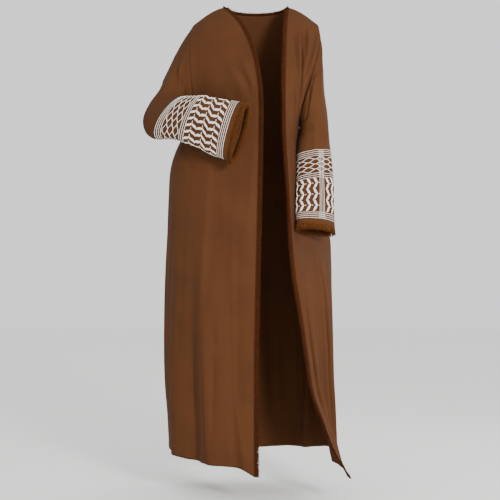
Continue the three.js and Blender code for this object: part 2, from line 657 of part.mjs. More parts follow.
function build() {
  const group = new THREE.Group();
  group.name = "abaya";
  const cloth = new THREE.MeshStandardMaterial({ color: COLOUR.cloth, roughness: 0.88, metalness: 0 });
  const sleeves = new THREE.MeshStandardMaterial({ color: COLOUR.sleeve, roughness: 0.88, metalness: 0 });
  const tassel = new THREE.MeshStandardMaterial({ color: COLOUR.fringe, roughness: 0.8, metalness: 0 });

  const panels = {};
  for (const name of ["back", "front_right", "front_left"]) {
    const grid = panelGrid(name);
    panels[name] = { grid, normals: gridNormals(grid, name === "front_left" ? 1 : -1, false) };
  }
  const shared = shareNormals(Object.values(panels));

  const cut = {};
  const neckFrom = STEPS.shoulder;
  const neckTo = neckFrom + STEPS.neck;
  for (const [name, { grid, normals }] of Object.entries(panels)) {
    const back = name === "back";
    const top = (j) => !back || j <= neckFrom || j >= neckTo;
    cut[name] = partSeams(grid, normals, { start: back, end: true, top });
    group.add(meshOf(name, wall(cut[name], normals, false), cloth));
  }

  const arms = {
    sleeve_right: sleeve(SLEEVE_RIGHT, -1, shared),
    sleeve_left: sleeve(SLEEVE_LEFT, 1, shared),
  };
  for (const [name, { grid, normals }] of Object.entries(arms)) {
    group.add(meshOf(name, wall(grid, normals, true), sleeves));
  }

  for (const side of ["right", "left"]) {
    const grid = cut[`front_${side}`];
    const normals = panels[`front_${side}`].normals;
    const edge = grid.map((row) => row[0]);
    const inside = grid.map((row) => row[1]);
    const facing = normals.map((row) => row[0]);
    const frames = edgeFrames(edge, inside, facing, false);
    shorten(frames, false, NECK_ROOM);
    group.add(meshOf(`fringe_front_${side}`, fringe(frames, LOCK.front, LOCK_PITCH.front, false), tassel));
  }

  const top = STEPS.skirt + STEPS.armhole;
  const neck = edgeFrames(
    cut.back[top].slice(neckFrom, neckTo + 1),
    cut.back[top - 1].slice(neckFrom, neckTo + 1),
    panels.back.normals[top].slice(neckFrom, neckTo + 1),
    false
  );
  shorten(neck, true, NECK_ROOM);
  shorten(neck, false, NECK_ROOM);
  group.add(meshOf("fringe_neck", fringe(neck, LOCK.neck, LOCK_PITCH.neck, false), tassel));

  for (const side of ["right", "left"]) {
    const { grid, normals } = arms[`sleeve_${side}`];
    const last = grid.length - 1;
    const frames = edgeFrames(grid[last], grid[last - 1], normals[last], true);
    group.add(meshOf(`fringe_cuff_${side}`, fringe(frames, LOCK.cuff, LOCK_PITCH.cuff, true), tassel));
  }
  return group;
}

export default build();
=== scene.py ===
"""An open-front abaya in brown crepe: its cloth, seams, sleeve embroidery and brush fringe."""

import math

import bpy
import numpy as np
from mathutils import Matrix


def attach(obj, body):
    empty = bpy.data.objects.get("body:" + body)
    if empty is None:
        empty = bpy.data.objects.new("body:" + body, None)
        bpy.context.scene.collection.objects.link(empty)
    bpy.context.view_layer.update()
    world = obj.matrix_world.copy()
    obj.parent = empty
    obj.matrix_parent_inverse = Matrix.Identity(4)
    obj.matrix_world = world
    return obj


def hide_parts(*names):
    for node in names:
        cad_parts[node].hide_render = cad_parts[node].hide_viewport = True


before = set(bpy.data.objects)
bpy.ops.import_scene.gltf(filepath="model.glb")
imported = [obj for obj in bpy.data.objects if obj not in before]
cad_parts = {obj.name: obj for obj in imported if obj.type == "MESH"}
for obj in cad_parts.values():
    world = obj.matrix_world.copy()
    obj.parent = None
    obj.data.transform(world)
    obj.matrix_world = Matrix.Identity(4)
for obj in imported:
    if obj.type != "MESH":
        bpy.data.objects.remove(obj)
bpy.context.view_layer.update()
bpy.ops.object.select_all(action="DESELECT")

# Sizes, in millimetres. +Z is up and the front of the garment faces -Y.
CLOTH = 1.2  # thickness of the crepe with its inside
NECK_HALF = 100  # from the middle to the side of the neck
SHOULDER = (189, 8, -52)  # left end of the shoulder seam
SHOULDER_ARCH = 3  # how far the shoulder seam arches up
SHOULDER_FALL = 1.25  # over 1, it falls faster toward the sleeve
NAPE_BACK = 58  # how far the neck line runs back
NAPE_DROP = 14  # and how far it drops
NAPE_ROUND = 0.9  # under 1, its curve is fuller than a circle's
UNDERARM_LEFT = (129, 7, -348)
UNDERARM_RIGHT = (-186, 7, -348)
CHEST = -348  # level of the underarms
BACK_ROUND = 0.56  # how full the curve of the back is
BACK_DRAW = 0.42  # share of the back that an armhole draws with it
RISE_PULL = 1.05  # how far a column holds its way before it bends to the shoulder
FOLD_FOOT = -1360  # level where a standing fold ends
FOLD_EARLY = 1.25  # over 1, a fold is at its full height before its foot
HEM_TURN = 18  # depth of the turned hem
HEM_STEP = 0.7  # how far the turning stands out
HEM_STEP_RUN = 1.6  # length of that step
SEAM_SWELL = 1.3  # how far the cloth rises beside a seam
SEAM_GROOVE = 2.4  # half width of the seam's groove
SEAM_REACH = 11  # how far the swell runs out
PANEL_FADE = 26  # how far in from a seam the creases reach their full height
SLEEVE_FADE = 24  # the same below an armhole

# Divisions. Cells run along the shoulder seams and across the back neck; each holds a few
# columns of the cloth.
SHOULDER_CELLS = 16
NECK_CELLS = 12
BACK_CELLS = 2 * SHOULDER_CELLS + NECK_CELLS
FINE_FRONT = 6
FINE_BACK = 4
SKIRT_ROWS = 150
TOP_ROWS = 80
SLEEVE_AROUND = 132
SLEEVE_RINGS = 170

# Sections of the body, from the underarms to the hem. right, left: side seams across; seam_r,
# seam_l: how far back they lie; back: depth behind; edge_*, deep_*: the front edges across and
# in front; turn_*: how far a front has turned at its edge; round_*: how full its curve is.
BODY_COLUMNS = (
    "z", "right", "left", "seam_r", "seam_l", "back",
    "edge_r", "deep_r", "turn_r", "edge_l", "deep_l", "turn_l", "round_r", "round_l",
)
BODY_ROWS = (
    (-348, 186, 129, 7, 7, 108, 8, -136, 6, 86, -115, 30, 0.28, 0.34),
    (-400, 226, 133, 8, 28, 110, 7, -138, 4, 87, -118, 30, 0.3, 0.16),
    (-480, 257, 139, 14, 38, 112, 6, -140, 4, 91, -122, 40, 0.34, 0.1),
    (-580, 265, 172, 20, 50, 126, 4, -144, 4, 97, -128, 50, 0.36, 0.07),
    (-680, 268, 224, 24, 60, 140, 2, -149, 4, 101, -134, 50, 0.36, 0.07),
    (-760, 272, 231, 26, 58, 147, 0, -153, 4, 107, -138, 42, 0.36, 0.2),
    (-850, 275, 232, 28, 50, 152, -2, -157, 4, 118, -143, 40, 0.36, 0.36),
    (-950, 276, 235, 30, 48, 158, -4, -162, 4, 133, -149, 45, 0.36, 0.36),
    (-1050, 276, 237, 32, 46, 164, -6, -167, 4, 148, -155, 50, 0.36, 0.36),
    (-1150, 274, 239, 34, 45, 170, -6, -172, 4, 164, -162, 60, 0.36, 0.36),
    (-1230, 269, 237, 36, 44, 175, -6, -176, 4, 193, -169, 76, 0.36, 0.36),
    (-1310, 266, 231, 38, 44, 180, -6, -180, 4, 227, -178, 92, 0.36, 0.36),
    (-1390, 262, 226, 40, 44, 184, -5, -184, 4, 270, -190, 106, 0.36, 0.36),
)

# Level of the hem: share of the way across a panel, height
HEM = {
    "front_right": ((0, -1384), (0.12, -1362), (0.5, -1352), (0.8, -1338), (1, -1334)),
    "front_left": ((0, -1386), (0.25, -1364), (0.6, -1340), (1, -1336)),
    "back": ((0, -1334), (0.25, -1350), (0.5, -1358), (0.75, -1352), (1, -1336)),
}

# Standing folds: where they start across the panel, where they end at the hem, half width as a
# share of the panel, height at the hem, level of their top
FOLDS = {
    "front_right": (
        (0.2, 0.15, 0.1, 9, -560), (0.34, 0.33, 0.1, -13, -600),
        (0.5, 0.51, 0.1, 14, -520), (0.68, 0.72, 0.13, -15, -640),
    ),
    "front_left": (
        (0.2, 0.16, 0.12, -9, -700), (0.42, 0.4, 0.12, 13, -600),
        (0.6, 0.62, 0.1, -14, -640), (0.8, 0.82, 0.1, 8, -660),
    ),
    "back": (
        (0.13, 0.11, 0.05, -14, -520), (0.22, 0.2, 0.05, 10, -620),
        (0.33, 0.31, 0.055, -16, -430), (0.43, 0.42, 0.05, 9, -560),
        (0.53, 0.54, 0.055, -15, -470), (0.64, 0.65, 0.05, 11, -600),
        (0.74, 0.76, 0.05, -15, -500), (0.86, 0.88, 0.05, 9, -640),
    ),
}

# Left armhole between the shoulder and the underarm
ARMHOLE = {
    "front": ((193, -18, -96), (184, -42, -150), (167, -55, -208), (147, -46, -276), (134, -24, -325)),
    "back": ((190, 36, -98), (181, 58, -156), (167, 66, -214), (149, 56, -278), (135, 32, -326)),
}

# The way each panel runs into its top edge: share across, then x, y, z
ARRIVE = {
    "front_right": ((0, -0.62, 0.62, 0.5), (0.5, -0.2, 0.78, 0.6), (1, -0.1, 0.66, 0.75)),
    "front_left": ((0, 0.12, 0.72, 0.7), (0.5, 0.1, 0.75, 0.66), (1, 0.14, 0.66, 0.75)),
    "back": (
        (0, 0, -0.66, 0.75), (0.18, 0, -0.8, 0.6), (0.36, 0, -0.72, 0.7), (0.5, 0, -0.3, 0.95),
        (0.64, 0, -0.72, 0.7), (0.82, 0, -0.8, 0.6), (1, 0, -0.66, 0.75),
    ),
}

# Rings of the sleeves: the end under the arm, the end over it, half the thickness
SLEEVE_LEFT = (
    (129, 7, -348, 189, 8, -52, 60), (132, 2, -352, 199, 6, -112, 63),
    (131, -9, -361, 203, 4, -180, 61), (131, -24, -371, 207, 3, -258, 55),
    (131, -39, -386, 212, 2, -335, 46), (127, -54, -415, 218, -5, -402, 40),
    (124, -69, -470, 225, -18, -460, 36), (122, -90, -530, 229, -38, -525, 34),
    (120, -111, -592, 231, -60, -598, 34), (118, -128, -655, 231, -80, -670, 34),
)
SLEEVE_RIGHT = (
    (-186, 7, -348, -189, 8, -52, 60), (-196, 8, -345, -216, 6, -92, 60),
    (-205, 4, -338, -246, 5, -146, 56), (-209, -10, -332, -276, 2, -206, 52),
    (-214, -26, -321, -304, -2, -266, 48), (-217, -44, -308, -327, -8, -322, 44),
    (-217, -64, -295, -332, -26, -372, 41), (-211, -88, -286, -310, -52, -400, 38),
    (-195, -112, -284, -268, -86, -404, 36), (-166, -138, -288, -220, -118, -415, 34),
    (-130, -160, -294, -172, -144, -435, 34), (-86, -180, -303, -127, -165, -457, 34),
    (-36, -197, -313, -82, -184, -478, 35),
)

# Creases. On a panel: share across and level where it starts and ends, half width,
# height (minus sinks in), bow to one side.
CREASES = {
    "front_right": (
        (0.42, -180, 0.22, -300, 14, 5, 8), (0.3, -190, 0.12, -290, 9, -5, 5),
        (0.5, -250, 0.28, -380, 12, 4, 6), (0.2, -150, 0.06, -260, 8, 3.5, -4),
        (0.72, -380, 0.4, -480, 12, 4, 8), (0.85, -400, 0.55, -520, 10, -4, 6),
        (0.385, -860, 0.38, -1356, 7, 7, 0), (0.325, -900, 0.32, -1354, 13, -10, 2),
        (0.345, -985, 0.3, -1055, 5, 2.5, 1), (0.955, -560, 0.965, -1334, 8, 4.5, 0),
        (0.8, -700, 0.84, -1336, 18, -5, 6), (0.62, -540, 0.6, -930, 20, -4, -5),
        (0.68, -960, 0.66, -1340, 18, 4.5, 6), (0.19, -1230, 0.2, -1362, 7, 3.5, 0),
        (0.05, -420, 0.08, -700, 10, 2.5, 3), (0.3, -480, 0.24, -760, 14, 3, -4),
        (0.55, -1120, 0.53, -1350, 9, 3, 2), (0.75, -860, 0.73, -1130, 10, 3, -3),
    ),
    "front_left": (
        (0.03, -60, 0.22, -300, 13, 6, 4), (0.2, -280, 0.38, -620, 15, 5, -6),
        (0.38, -60, 0.52, -250, 7, 8, 3), (0.47, -70, 0.62, -320, 4.5, -14, 0),
        (0.6, -200, 0.72, -345, 8, 6, 2), (0.66, -64, 0.74, -180, 6, 7, 0),
        (0.58, -58, 0.64, -160, 5, -7, 0), (0.95, -82, 0.8, -220, 8, 9, -5),
        (0.9, -76, 0.72, -230, 5, -9, -5), (0.86, -150, 0.72, -300, 8, 6, -4),
        (0.2, -60, 0.3, -220, 9, -5, 3), (0.3, -200, 0.38, -420, 8, -6, 0),
        (0.06, -640, 0.1, -900, 10, 5, 0), (0.14, -1090, 0.27, -1250, 9, 7, 3),
        (0.3, -820, 0.3, -1260, 15, -10, 0), (0.68, -760, 0.66, -1280, 9, -11, 0),
        (0.32, -1000, 0.37, -1220, 10, 4, 4), (0.05, -1180, 0.2, -1340, 9, 4, 0),
        (0.8, -760, 0.8, -1180, 9, 4, 3), (0.45, -460, 0.42, -720, 11, 4, 3),
        (0.525, -760, 0.485, -1310, 5, -16, 0), (0.12, -840, 0.14, -1270, 7, -16, 0),
    ),
    "back": (
        (0.3, -70, 0.27, -340, 15, 5, 6), (0.7, -80, 0.73, -330, 14, 5, -6),
        (0.4, -50, 0.37, -300, 11, -4, 4), (0.6, -60, 0.63, -320, 10, -4, -4),
        (0.15, -190, 0.26, -430, 11, 6, 5), (0.86, -200, 0.75, -420, 10, 6, -5),
        (0.1, -290, 0.21, -520, 9, -5, 4), (0.9, -300, 0.79, -500, 9, -5, -4),
        (0.48, -120, 0.47, -520, 16, 3.5, 5), (0.53, -300, 0.55, -700, 12, -3.5, -5),
        (0.34, -400, 0.32, -940, 13, 6, 5), (0.27, -560, 0.26, -1348, 11, 8, -4),
        (0.38, -760, 0.375, -1356, 12, 7, 4), (0.42, -440, 0.44, -860, 12, -5, 3),
        (0.48, -700, 0.485, -1358, 10, 9, -4), (0.585, -620, 0.6, -1354, 11, 8, 5),
        (0.66, -420, 0.67, -900, 13, 6, -3), (0.69, -820, 0.7, -1350, 11, 7, 3),
        (0.81, -600, 0.82, -1344, 10, 8, -3), (0.17, -640, 0.155, -1342, 10, 8, 3),
        (0.06, -560, 0.05, -1338, 9, 6, 0), (0.94, -560, 0.95, -1338, 9, 6, 0),
        (0.22, -980, 0.23, -1346, 8, -5, 0), (0.53, -1000, 0.54, -1356, 8, -5, 2),
        (0.76, -1010, 0.75, -1346, 8, -5, 0), (0.33, -1080, 0.335, -1352, 7, 4, 0),
        (0.3, -460, 0.5, -560, 13, 3.5, 9), (0.52, -500, 0.7, -430, 12, 3.5, -9),
    ),
}
# Knife folds, with one long flank and one short: ends as above, the flank toward the left side
# seam (the right one on the right front), the other flank, height, bow
KNIFE_FOLDS = {
    "front_right": (
        (0.45, -420, 0.425, -1356, 46, 10, 11, 0), (0.21, -600, 0.16, -1150, 34, 11, 9, 2),
        (0.165, -1080, 0.07, -1384, 30, 9, 9, -2),
    ),
    "front_left": (
        (0.485, -740, 0.455, -1310, 7, 26, 12, 0), (0.07, -820, 0.08, -1240, 7, 20, 9, 0),
    ),
    "back": (
        (0.46, -420, 0.47, -1358, 18, 50, 10, 6), (0.3, -520, 0.28, -1352, 50, 18, 9, -4),
        (0.63, -560, 0.65, -1352, 46, 16, 9, 5), (0.8, -640, 0.82, -1344, 16, 40, 7, 0),
    ),
}
# On a sleeve: share of the way to the cuff and round it from the top of the arm, at both ends
SLEEVE_CREASES = {
    "left": (
        (0.34, 0.25, 1.0, 0.25, 8, 7, 0), (0.02, 0.12, 0.3, 0.34, 9, 5, 8),
        (0.05, 0.2, 0.34, 0.42, 7, -4, 6), (0.1, 0.06, 0.36, 0.2, 10, 4, -5),
        (0.3, 0.46, 0.44, 0.3, 8, 4, 5), (0.42, 0.48, 0.54, 0.34, 7, 3.5, 4),
        (0.4, 0.4, 0.5, 0.28, 6, -3, 4), (0.5, 0.1, 0.62, 0.2, 8, 3, 3),
        (0.04, 0.84, 0.34, 0.7, 10, 5, -6), (0.12, 0.92, 0.42, 0.78, 9, -4, -6),
        (0.3, 0.56, 0.46, 0.72, 9, 5, 6), (0.42, 0.54, 0.56, 0.7, 8, 4, 5),
        (0.5, 0.62, 0.62, 0.8, 8, -3, 5), (0.56, 0.86, 0.9, 0.8, 9, 3.5, 4),
        (0.03, 0.5, 0.24, 0.5, 14, 2, 0),
    ),
    "right": (
        (0.03, 0.14, 0.3, 0.3, 10, 5, 6), (0.06, 0.28, 0.34, 0.42, 9, -4, 5),
        (0.1, 0.06, 0.4, 0.14, 11, 4, -5), (0.34, 0.5, 0.42, 0.26, 8, 6, 5),
        (0.42, 0.52, 0.48, 0.24, 8, 7, 6), (0.5, 0.52, 0.54, 0.26, 8, 6, 6),
        (0.38, 0.48, 0.45, 0.3, 6, -5, 5), (0.46, 0.5, 0.52, 0.3, 6, -5, 5),
        (0.42, 0.1, 0.6, 0.12, 12, 4, 6), (0.36, 0.54, 0.42, 0.76, 9, 6, -5),
        (0.44, 0.54, 0.49, 0.78, 8, 7, -6), (0.52, 0.54, 0.55, 0.74, 8, 5, -5),
        (0.04, 0.86, 0.34, 0.72, 10, 5, -6), (0.14, 0.92, 0.4, 0.8, 9, -4, -6),
        (0.6, 0.08, 0.95, 0.06, 10, 4, 4), (0.62, 0.44, 0.94, 0.47, 10, 3, -3),
    ),
}
# Uneven waves of the hanging cloth: height, range of widths, range of lengths
BROAD_WAVES = (1.6, (60, 140), (900, 2200))
FINE_WAVES = (0.25, (26, 50), (240, 600))
SLEEVE_WAVES = (0.8, (60, 110), (120, 260))
WAVE_SEED = {"front_right": 11, "front_left": 12, "back": 13, "left": 31, "right": 32}
CALM_TOP = 0.45  # share of the broad waves' height at the chest
CALM_DEPTH = 900  # how far below it they reach their full height

# Stitching: one stitch with its gap, half a thread's width, and how far in from a hem's fold or
# an edge the row lies
STITCH_PITCH = 3.2
STITCH_HALF = 0.28
HEM_STITCH = 2.5
EDGE_STITCH = 6.0

# Brush fringes: length of a thread, droop of its tip, seed
FRINGES = {
    "cuff_left": (17.5, 0.25, 93),
    "cuff_right": (17.5, 0.25, 159),
    "front_right": (13.5, 0.12, 71),
    "front_left": (13.5, 0.12, 72),
    "neck": (10.5, 0.1, 81),
}
THREAD_ROWS = ((0.62, 1.0, 0), (0.75, 0.86, 50))  # pitch, share of the length, step of the seed
THREAD_HALF = (0.9, 0.85, 0.45)  # half a thread's width at its root, middle and tip
THREAD_THICK = (0.8, 1.1)  # thinnest and thickest, as shares of that
THREAD_REACH = (0.78, 1.04)  # shortest and longest, as shares of the length
THREAD_ROOT = (0.8, 1.8)  # how far out of the edge threads start
THREAD_DEPTH = (0.2, 1.2)  # how far behind the face of the cloth
THREAD_LEAN = 0.11  # spread of its slope along the edge
THREAD_LIFT = (0.03, 0.14)  # middle and spread of its slope off the face
THREAD_BEND = (0.09, 0.1)  # spread of its bend, along the edge and off the face
PLAIT_PITCH = 2.1
PLAIT_MIDDLE = 0.9  # how far out of the edge its middle lies
PLAIT_APART = 1.05  # from there to each of its two rows
PLAIT_STAGGER = 0.25  # how far a row is ahead or behind, as a share of the pitch
PLAIT_SLANT = 0.8
PLAIT_HALF = 1.75  # half the length of a stitch
TAPE = ((0.05, -0.1), (0.05, -1.0), (3.1, -1.0), (3.1, -0.1))  # corners, out and off the face

# Embroidery, charted from the cuff up. Bands: distance of the first line from the cuff's edge,
# lines, pitch.
LINE_BANDS = {"low": (14.4, 4, 5.9), "middle": (140, 3, 6.2), "high": (209.5, 4, 6.2)}
LEAVES_AT = 34.5  # where the leaves start
NET_AT = 157  # and the netting
LINE_WIDE = 1.7
LINE_HIGH = 0.9  # how high lines and netting stand on the cloth
BORDER_WIDE = 1.6
LEAF_HIGH = 1.4
THORN_HIGH = 1.0
BORDER = (-8, -3, 3, 8)  # lines up the sleeve on either side of the pattern's start
BORDER_ROOM = 24  # kept free of leaves for them
LEAF_ROWS = 19.6  # pitch of the waves of leaves round the sleeve
LEAVES = 6  # leaves in a wave
LEAF_RUN = 17.2  # length of a leaf along the sleeve
LEAF_LAP = 0.08  # share by which a leaf runs into the next
LEAF_RISE = 14.5  # how far it climbs round the sleeve
LEAF_BEND = 1.3  # how far it bows to either side
LEAF_WIDE = 8.6
LEAF_MARGIN = 1.5  # before the first leaf
THORN_WIDE = (3.4, 2.8, 2.0, 1.2, 0.5)
THORN_REACH = 5.5
THORN_GAP = 2.0  # between a crest and its thorn
NET_HIGH = 16.2  # height of a mesh
NET_ROWS = 3
NET_PITCH = 43  # round the sleeve, two columns of meshes
KNOT_HALF = 3.6
NET_WIDE = (3.2, 2.4, 2.0, 2.0, 2.4, 3.2)
CHART_STEPS = 360  # even steps round a sleeve
# The sleeve's column where the pattern begins, and the way its thorns point
PATTERN = {"left": (32, -1), "right": (98, 1)}


# Curves and surfaces of the cut
def mix(a, b, t):
    return a + (b - a) * t


def smooth(t):
    c = np.clip(t, 0, 1)
    return c * c * (3 - 2 * c)


def hermite(a, leave, b, arrive, t):
    """From a to b, with a given way to leave and to arrive."""
    t2 = t * t
    t3 = t2 * t
    return (2 * t3 - 3 * t2 + 1) * a + (t3 - 2 * t2 + t) * leave + (3 * t2 - 2 * t3) * b + (t3 - t2) * arrive


def curve(keys, values, at):
    """A smooth curve through the rows of a table; values may have several columns."""
    keys = np.asarray(keys, float)
    values = np.asarray(values, float)
    if keys[0] > keys[-1]:
        keys = keys[::-1]
        values = values[::-1]
    last = len(keys) - 1
    before = np.maximum(np.arange(last + 1) - 1, 0)
    after = np.minimum(np.arange(last + 1) + 1, last)
    gap = keys[after] - keys[before]
    slope = (values[after] - values[before]) / gap.reshape((-1,) + (1,) * (values.ndim - 1))
    at = np.clip(np.asarray(at, float), keys[0], keys[-1])
    i = np.clip(np.searchsorted(keys, at, side="right") - 1, 0, last - 1)
    span = keys[i + 1] - keys[i]
    t = (at - keys[i]) / span
    if values.ndim > 1:
        t = t[..., None]
        span = span[..., None]
    return hermite(values[i], slope[i] * span, values[i + 1], slope[i + 1] * span, t)


def section(z):
    """The body's sizes at a level."""
    rows = np.array(BODY_ROWS, float)
    values = curve(rows[:, 0], rows[:, 1:], np.maximum(z, rows[-1, 0]))
    return {name: values[..., k] for k, name in enumerate(BODY_COLUMNS[1:])}


def bezier(a, b, c, d, t):
    s = 1 - t
    return a * s**3 + 3 * b * s * s * t + 3 * c * s * t * t + d * t**3


def front_at(panel, u, z):
    """A front at one level, from its front edge (0) to the side seam (1)."""
    s = section(z)
    left = panel == "front_left"
    mark = "l" if left else "r"
    sign = 1 if left else -1
    edge_x, edge_y, turn = s["edge_" + mark], s["deep_" + mark], np.radians(s["turn_" + mark])
    seam_x = s["left"] if left else -s["right"]
    seam_y = s["seam_" + mark]
    reach = np.hypot(edge_x - seam_x, edge_y - seam_y) * s["round_" + mark]
    x = bezier(edge_x, edge_x + sign * np.cos(turn) * reach, seam_x, seam_x, u)
    y = bezier(edge_y, edge_y + np.sin(turn) * reach, seam_y - reach, seam_y, u)
    return x, y


def back_at(u, z):
    """The back at one level, from the right side seam (0) to the left one (1)."""
    s = section(z)
    middle = (s["left"] - s["right"]) / 2
    left = u > 0.5
    side = np.where(left, s["left"], -s["right"])
    seam = np.where(left, s["seam_l"], s["seam_r"])
    t = np.where(left, (1 - u) * 2, u * 2)
    x = bezier(side, side, mix(middle, side, BACK_ROUND), middle, t)
    y = bezier(seam, mix(seam, s["back"], BACK_ROUND), s["back"], s["back"], t)
    return x, y


def fold_height(panel, u, z):
    """How far the standing folds push a panel out."""
    height = np.zeros(np.broadcast(u, z).shape)
    for at, foot, wide, deep, top in FOLDS[panel]:
        down = np.clip((top - z) / (top - FOLD_FOOT), 0, 1)
        away = np.clip(np.abs(u - mix(at, foot, down)) / wide, 0, 1)
        height += deep * smooth(down * FOLD_EARLY) * np.cos(away * math.pi / 2) ** 2
    return height


def level_points(panel, u, z):
    """Points of a panel at a level, with its standing folds."""
    near = 0.01
    flat = back_at if panel == "back" else lambda w, h: front_at(panel, w, h)
    x, y = flat(u, z)
    ax, ay = flat(np.maximum(u - near, 0), z)
    bx, by = flat(np.minimum(u + near, 1), z)
    turned = 1 if panel == "front_right" else -1
    size = np.hypot(bx - ax, by - ay)
    height = fold_height(panel, u, z)
    x = x + turned * (by - ay) / size * height
    y = y + turned * (ax - bx) / size * height
    return np.stack([x, y, z + 0 * u], axis=-1)


def shoulder_seam(sign, t):
    x = sign * mix(NECK_HALF, SHOULDER[0], t)
    z = SHOULDER[2] * t**SHOULDER_FALL + SHOULDER_ARCH * np.sin(t * math.pi)
    return np.stack([x, mix(0, SHOULDER[1], t), z], axis=-1)


def armhole(sign, half, t):
    """The line of an armhole, from the shoulder (0) to the underarm (1)."""
    rows = np.array((SHOULDER,) + ARMHOLE[half] + (UNDERARM_LEFT,), float)
    points = curve(np.linspace(0, 1, len(rows)), rows, t)
    if sign < 0:
        points[..., 0] += (-UNDERARM_RIGHT[0] - UNDERARM_LEFT[0]) * smooth(t)
        points[..., 0] *= -1
    return points


def top_edge(panel, u):
    """The shoulder seam, and on the back also the neck between the two seams."""
    if panel != "back":
        return shoulder_seam(1 if panel == "front_left" else -1, u)
    step = np.minimum(u, 1 - u) * BACK_CELLS
    sign = np.where(u < 0.5, -1.0, 1.0)
    seam = shoulder_seam(sign, np.clip(1 - step / SHOULDER_CELLS, 0, 1))
    turn = np.clip((step - SHOULDER_CELLS) / NECK_CELLS, 0, 1) * math.pi
    lift = np.maximum(np.sin(turn), 0)
    around = (sign * NECK_HALF * np.cos(turn), NAPE_BACK * lift**NAPE_ROUND, -NAPE_DROP * lift)
    neck = np.stack(around, axis=-1)
    return np.where((step <= SHOULDER_CELLS)[..., None], seam, neck)


def unit(v):
    return v / np.maximum(np.linalg.norm(v, axis=-1, keepdims=True), 1e-9)


def riser(panel, u, t):
    """Above the underarms each column rises to the top edge on one bend; rows are t."""
    below_by = 20
    level = np.full(u.shape, float(CHEST))
    start = level_points(panel, u, level)
    below = level_points(panel, u, level - below_by)
    end = top_edge(panel, u)
    length = np.linalg.norm(end - start, axis=-1, keepdims=True)
    way = np.array(ARRIVE[panel], float)
    leave = unit(start - below) * length * RISE_PULL
    arrive = unit(curve(way[:, 0], way[:, 1:], u)) * length * RISE_PULL
    return hermite(start, leave, end, arrive, t[:, None, None])


def panel_points(panel):
    """Rows from the hem up, columns across, and the share across of each column."""
    fine = FINE_BACK if panel == "back" else FINE_FRONT
    cells = BACK_CELLS if panel == "back" else SHOULDER_CELLS
    u = np.linspace(0, 1, cells * fine + 1)
    hem = np.array(HEM[panel], float)
    rise = np.linspace(0, 1, SKIRT_ROWS + 1)[:-1, None]
    low_z = mix(curve(hem[:, 0], hem[:, 1], u)[None, :], CHEST, rise)
    low = level_points(panel, np.broadcast_to(u, low_z.shape), low_z)
    t = np.linspace(0, 1, TOP_ROWS + 1)
    high = riser(panel, u, t)

    def draw(sign, half, side, share):
        pull = armhole(sign, half, 1 - t) - riser(panel, np.array([float(side)]), t)[:, 0]
        return pull[:, None, :] * (np.maximum(share, 0) ** 2)[None, :, None]

    if panel == "back":
        high = high + draw(-1, "back", 0, 1 - u / BACK_DRAW) + draw(1, "back", 1, 1 - (1 - u) / BACK_DRAW)
    else:
        high = high + draw(1 if panel == "front_left" else -1, "front", 1, u)
    return np.concatenate([low, high]), u


def sleeve_points(side):
    """Rings from the armhole to the cuff; each starts over the arm and runs down in front."""
    near = 0.15
    settle = 4.5  # rows over which the armhole's line gives way to a round sleeve
    rows = np.array(SLEEVE_LEFT if side == "left" else SLEEVE_RIGHT, float)
    sign = 1 if side == "left" else -1
    last = len(rows) - 1
    keys = np.arange(last + 1.0)
    share = np.arange(SLEEVE_AROUND) / SLEEVE_AROUND
    turn = share * 2 * math.pi
    front = armhole(sign, "front", np.clip(share * 2, 0, 1))
    behind = armhole(sign, "back", np.clip(2 - share * 2, 0, 1))
    loop = np.where((share < 0.5)[:, None], front, behind)

    def ring(t):
        at = curve(keys, rows, t)
        under, over, half = at[:, :3], at[:, 3:6], at[:, 6]

        def middle(w):
            ends = curve(keys, rows[:, :6], w)
            return (ends[:, :3] + ends[:, 3:]) / 2

        along = middle(np.minimum(t + near, last)) - middle(np.maximum(t - near, 0))
        reach = (over - under) / 2
        ahead = unit(np.cross(along, reach)) * sign * half[:, None]
        centre = (under + over) / 2
        return (
            centre[:, None, :]
            + reach[:, None, :] * np.cos(turn)[None, :, None]
            + ahead[:, None, :] * np.sin(turn)[None, :, None]
        )

    t = np.linspace(0, last, SLEEVE_RINGS + 1)
    rest = loop - ring(np.array([0.0]))[0]
    keep = 1 - smooth(t / settle)
    return ring(t) + rest[None] * keep[:, None, None]


def square_to(grid, closed):
    """The direction square to a grid at each of its points."""
    if closed:
        along = np.roll(grid, -1, axis=1) - np.roll(grid, 1, axis=1)
    else:
        along = np.gradient(grid, axis=1)
    up = np.gradient(grid, axis=0)
    return unit(np.cross(along, up))


def ring_out(grid):
    """The same round a tube, turned away from its middle."""
    normals = square_to(grid, True)
    centre = grid.mean(axis=1, keepdims=True)
    return normals if np.sum(normals * (grid - centre)) > 0 else -normals


def lengths(grid, axis):
    """Distance along each row (axis 1) or column (axis 0) from its start."""
    step = np.linalg.norm(np.diff(grid, axis=axis), axis=-1)
    start = np.zeros_like(np.take(step, [0], axis=axis))
    return np.concatenate([start, np.cumsum(step, axis=axis)], axis=axis)


def at_places(places, far, rows):
    """Points read off at places along a line; far is the distance of each row."""
    return np.stack([np.interp(places, far, rows[:, k]) for k in range(3)], axis=-1)


def from_cuff(grid):
    """How far the middle of each ring of a sleeve is from the cuff."""
    run = lengths(grid.mean(axis=1)[None], 1)[0]
    return run[-1] - run


